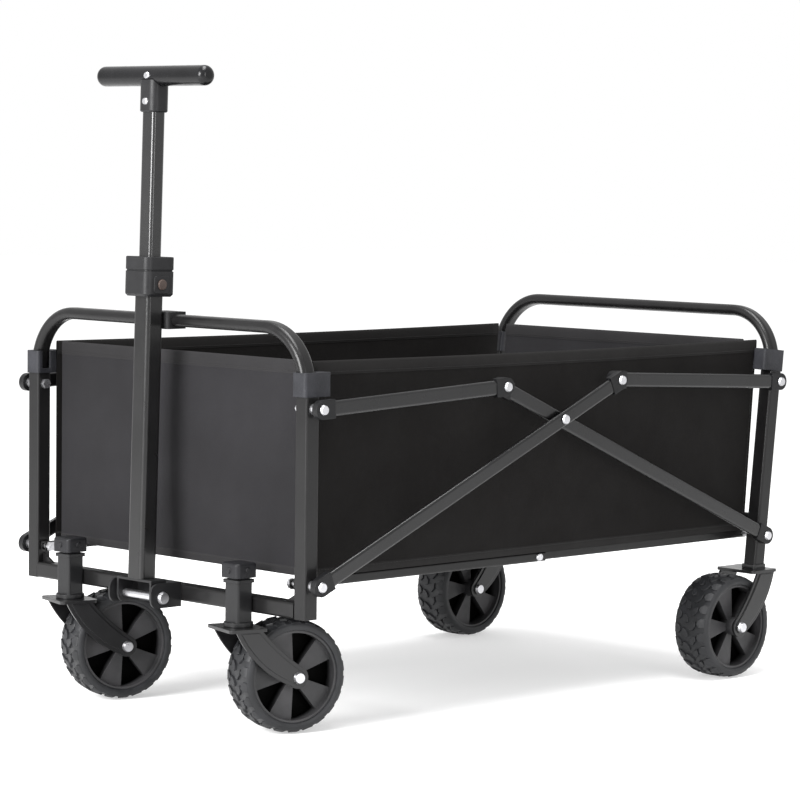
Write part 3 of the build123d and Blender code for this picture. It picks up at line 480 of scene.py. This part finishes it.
def rear_wall_point(u, v):
    """A point of the rear wall. u runs from the left to the right."""
    y = (1 - 2 * u) * REAR_WALL_HALF
    z, belly, loose = end_wall_shape(u, v, y, (4.4, 9.2))
    return Vector((rear_x(z, 0.0175) - 0.0035 * belly + loose, y, z))


def hem_band(bm, line, low_line, out, bulge):
    """A folded hem: a closed strip with a rounded top that covers the wall's edge on both faces."""
    half = [(1, 0.0), (1, 0.25), (1, 0.55), (1, 0.85), (0.75, 1.0)]
    other_half = [(-across, rise) for across, rise in reversed(half)]
    profile = [*half, (0, 1.06), *other_half, (-0.35, -0.02), (0.35, -0.02)]
    rings = []
    for top, low in zip(line, low_line):
        up = top - low
        ring = []
        for across, rise in profile:
            plump = 1.0 + 0.22 * math.sin(math.pi * min(1, max(0, rise)))
            ring.append(bm.verts.new(low + up * rise + out * across * bulge * plump))
        rings.append(ring)
    bridge(bm, rings)
    cap_ends(bm, rings)


def build_wall(names, place, out, across, steps, cloth_key, hem_key, sewn_ends=()):
    """A wall's cloth, hem, welt and stitching. names turns a part's word into the piece's name."""
    bm = bmesh.new()
    grid_sheet(bm, place, across, 44, out, CLOTH_THICK)
    wall = piece(names("wall"), bm, cloth_key, 60)

    shares = [k / steps for k in range(steps + 1)]
    bm = bmesh.new()
    hem_line = [place(u, 1) + HEM_LIFT for u in shares]
    hem_band(bm, hem_line, [place(u, HEM_V) for u in shares], out, 0.0011)
    hem = piece(names("hem"), bm, hem_key, 55)

    bm = bmesh.new()
    hem_band(bm, [place(u, WELT_V) for u in shares], [place(u, FOOT_V) for u in shares], out, 0.0012)
    welt = piece(names("welt"), bm, hem_key, 55)

    bm = bmesh.new()
    for painted_shade_falloff in (1, -1):
        for v in SEAM_ROWS:
            stitches(bm, [place(u, v) + out * painted_shade_falloff * SEAM_STAND for u in shares], out * painted_shade_falloff)
    rows = [k / 40 for k in range(1, 37)]
    for u in sewn_ends:
        stitches(bm, [place(u, v) + out * 0.0008 for v in rows], out)
    sewn = piece(names("stitching"), bm, "thread", 60)

    return wall, hem, welt, sewn


def fold_piece(obj):
    """A basket piece that rides on the front frame, with a mesh of its own."""
    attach(obj, "front_frame")
    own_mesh(obj)


for side_name, side in (("left", 1), ("right", -1)):
    wall, *trim = build_wall(lambda part: f"side_{part}_{side_name}",
                             lambda u, v: side_wall_point(side, u, v), Vector((0, side, 0)),
                             150, 120, "fabric_side", "hem_side", (0.006, 0.992))
    if side == 1:
        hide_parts("basket_trough")
    for obj in (wall, *trim):
        fold_piece(obj)

for end, place, ahead, half in (("front", front_wall_point, 1, FRONT_WALL_HALF),
                                ("rear", rear_wall_point, -1, REAR_WALL_HALF)):
    wall, *trim = build_wall(lambda part: f"{end}_{part}", place, Vector((ahead, 0, 0)),
                             96, 80, "fabric_end", "hem_end")
    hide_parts(f"basket_{end}")
    for obj in (wall, *trim):
        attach(obj, f"{end}_frame")

FLOOR_REAR = rear_x(WALL_LOW, 0.019)
FLOOR_FRONT = FRONT_WALL_X - 0.0014


def floor_point(u, v):
    """A point of the cloth floor. u runs from the rear to the front, v from the right to the left."""
    x = FLOOR_REAR + u * (FLOOR_FRONT - FLOOR_REAR)
    y = (v - 0.5) * 2 * (SIDE_Y - 0.0008)
    return Vector((x, y, FLOOR_CLOTH_Z + 0.0002 * ripple(x, y, 2.2, 0.08)))


bm = bmesh.new()
grid_sheet(bm, floor_point, 60, 36, Vector((0, 0, 1)), FLOOR_CLOTH_THICK)
floor_cloth = piece("floor_cloth", bm, "floor_cloth", 60)
fold_piece(floor_cloth)


# ---- floor mats ---------------------------------------------------------------------------------
def round_corner(px, py, hx, hy, radius):
    """Draws a point of a rectangle in towards its rounded corner."""
    dx, dy = abs(px) - (hx - radius), abs(py) - (hy - radius)
    if dx <= 0 or dy <= 0:
        return px, py
    scale = max(dx, dy) / math.hypot(dx, dy)
    return math.copysign(hx - radius + dx * scale, px), math.copysign(hy - radius + dy * scale, py)


def build_mat(end):
    """A quilted pad: crowned, pinched at its edge binding, with two sewn channels across it."""
    node = f"floor_mat_{end}"
    low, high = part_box(node)
    cx, cy, mid = ((low[axis] + high[axis]) / 2 for axis in (X, Y, Z))
    hx, hy = (high.x - low.x) / 2, (high.y - low.y) / 2
    nu, nv = 64, 96
    bm = bmesh.new()
    upper, lower = [], []
    for j in range(nv + 1):
        for i in range(nu + 1):
            a, b = 2 * i / nu - 1, 2 * j / nv - 1
            px, py = round_corner(a * hx, b * hy, hx, hy, 0.018)
            edge = min(hx - abs(a) * hx, hy - abs(b) * hy)
            rise = min(1.0, max(0.0, edge) / 0.016) ** 0.5
            channel = min(1.0, abs(abs(px) - hx * 0.36) / 0.010) ** 0.6
            plump = (0.25 + 0.75 * rise) * (0.5 + 0.5 * channel if edge > 0.004 else 1.0)
            plump *= 0.96 + 0.04 * ripple(px, py, 6.6, 0.05)
            upper.append(bm.verts.new((cx + px, cy + py, mid + (high.z - mid) * plump)))
            lower.append(bm.verts.new((cx + px, cy + py, mid - (mid - low.z) * (0.3 + 0.7 * rise))))
    rim = close_grids(bm, upper, lower, nu, nv)
    edge_line = [(upper[k].co + lower[k].co) / 2 for k in rim]
    pad = piece(f"mat_{end}", bm, "mat", 60)
    bm = bmesh.new()
    tube_along(bm, edge_line, 0.0016, 6, closed=True)
    binding = piece(f"mat_binding_{end}", bm, "hem_side", 60)
    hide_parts(node)
    for obj in (pad, binding):
        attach(obj, f"floor_{end}")


for end in ("front", "rear"):
    build_mat(end)


# ---- tyres --------------------------------------------------------------------------------------
def build_tyre(node, body):
    """A smooth-walled carcass with two rows of angled blocks that meet in a zigzag."""
    centre, axle, ahead = wheel_frame(node)
    up = Vector((0, 0, 1))

    def at(radius, along, angle):
        return centre + axle * along + (ahead * math.cos(angle) + up * math.sin(angle)) * radius

    h = WHEEL_HALF
    carcass = WHEEL_R - 0.0030
    profile = [(RIM_R, -h + 0.003), (RIM_R + 0.0006, -h + 0.0012), (RIM_R + 0.0022, -h + 0.0003),
               (RIM_R + 0.0050, -h), (carcass - 0.0030, -h + 0.0006), (carcass - 0.0012, -h + 0.0022),
               (carcass - 0.0003, -h + 0.006), (carcass, -h + 0.011), (carcass + 0.0003, -0.006)]
    profile += [(r, -a) for r, a in reversed(profile)]
    bm = bmesh.new()
    turns = 120
    rings = []
    for t in range(turns):
        angle = 2 * math.pi * t / turns
        rings.append([bm.verts.new(at(r, a, angle)) for r, a in profile])
    bridge(bm, rings + rings[:1])

    def block(angle, span, outline, drop):
        """One tread block. outline holds (along, angle share) corners; the top is smaller than the foot."""
        mid_a = sum(p[0] for p in outline) / len(outline)
        mid_s = sum(p[1] for p in outline) / len(outline)
        foot, shoulder, crown = [], [], []
        for along, share in outline:
            lean = (abs(along) / h) ** 4 * drop
            for ring, radius, size in ((foot, carcass - 0.0012, 1.0), (shoulder, WHEEL_R - 0.0008, 0.95),
                                       (crown, WHEEL_R - 0.0001, 0.84)):
                a = mid_a + (along - mid_a) * size
                s = mid_s + (share - mid_s) * size
                ring.append(bm.verts.new(at(radius - lean, a, angle + s * span)))
        bridge(bm, [foot, shoulder, crown])
        bm.faces.new(crown)
        bm.faces.new(list(reversed(foot)))

    pitch = 2 * math.pi / LUGS
    for k in range(LUGS):
        for row in (1, -1):
            angle = pitch * (k + (0.5 if row > 0 else 0.0))
            outer_block = [(row * 0.0130, -0.10), (row * 0.0180, -0.36), (row * 0.0262, -0.34),
                           (row * 0.0262, 0.34), (row * 0.0200, 0.36), (row * 0.0150, 0.16)]
            inner_block = [(row * 0.0008, -0.52), (row * 0.0060, -0.62), (row * 0.0120, -0.28),
                           (row * 0.0116, 0.10), (row * 0.0064, 0.02), (row * 0.0020, -0.22)]
            block(angle, pitch, outer_block, 0.0036)
            block(angle, pitch, inner_block, 0.0)
    tyre = piece(f"tread_{node}", bm, "tyre", 32)
    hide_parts(node)
    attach(tyre, body)


for end in ("front", "rear"):
    for side_name in ("left", "right"):
        build_tyre(f"tyre_{end}_{side_name}", f"wheel_{end}_{side_name}")


# ---- stage, lights and camera -------------------------------------------------------------------
def flat_floor(size=14.0):
    """The studio paper, just under the wheels."""
    bm = bmesh.new()
    corners = ((-1, -1), (1, -1), (1, 1), (-1, 1))
    bm.faces.new([bm.verts.new((x * size, y * size, -0.0005)) for x, y in corners])
    mesh = bpy.data.meshes.new("ground")
    bm.to_mesh(mesh)
    bm.free()
    mesh.materials.append(floor_paper("ground_m"))
    obj = bpy.data.objects.new("ground", mesh)
    bpy.context.scene.collection.objects.link(obj)


def area_light(name, place, target, size, power):
    data = bpy.data.lights.new(name, "AREA")
    data.shape = "RECTANGLE"
    data.size, data.size_y = size
    data.energy = power
    obj = bpy.data.objects.new(name, data)
    obj.location = place
    obj.rotation_euler = (Vector(target) - Vector(place)).to_track_quat("-Z", "Y").to_euler()
    bpy.context.scene.collection.objects.link(obj)


flat_floor()
world = bpy.data.worlds.new("studio")
bpy.context.scene.world = world
world.use_nodes = True
background = world.node_tree.nodes["Background"]
background.inputs["Color"].default_value = (1.0, 1.0, 1.0, 1)
background.inputs["Strength"].default_value = 1.0

area_light("front_softbox", (3.6, 0.2, 1.5), (0.2, 0, 0.35), (1.6, 1.8), 260)
area_light("top_softbox", (0.3, 0.4, 3.4), (0, 0, 0.2), (1.2, 2.6), 150)
area_light("side_softbox", (0.6, 3.8, 1.2), (0, 0.1, 0.3), (0.7, 1.6), 34)

CAMERA_PLACE = (FRONT_X + 2.5933, 3.0858, 0.7041)
AZIMUTH, ELEVATION, ROLL = (math.radians(a) for a in (135.846, 4.345, 0.695))
back = Vector((math.sin(AZIMUTH) * math.cos(ELEVATION), -math.cos(AZIMUTH) * math.cos(ELEVATION),
               math.sin(ELEVATION)))
right = Vector((math.cos(AZIMUTH), math.sin(AZIMUTH), 0))
up = back.cross(right)
cam_x = right * math.cos(ROLL) + up * math.sin(ROLL)
cam_y = -right * math.sin(ROLL) + up * math.cos(ROLL)
camera_data = bpy.data.cameras.new("camera")
camera_data.lens = 146.05
camera_data.sensor_width = 36
camera = bpy.data.objects.new("camera", camera_data)
rows = [(cam_x[k], cam_y[k], back[k], CAMERA_PLACE[k]) for k in (X, Y, Z)]
camera.matrix_world = Matrix((*rows, (0, 0, 0, 1)))
bpy.context.scene.collection.objects.link(camera)
bpy.context.scene.camera = camera
bpy.context.scene.view_settings.view_transform = "Standard"
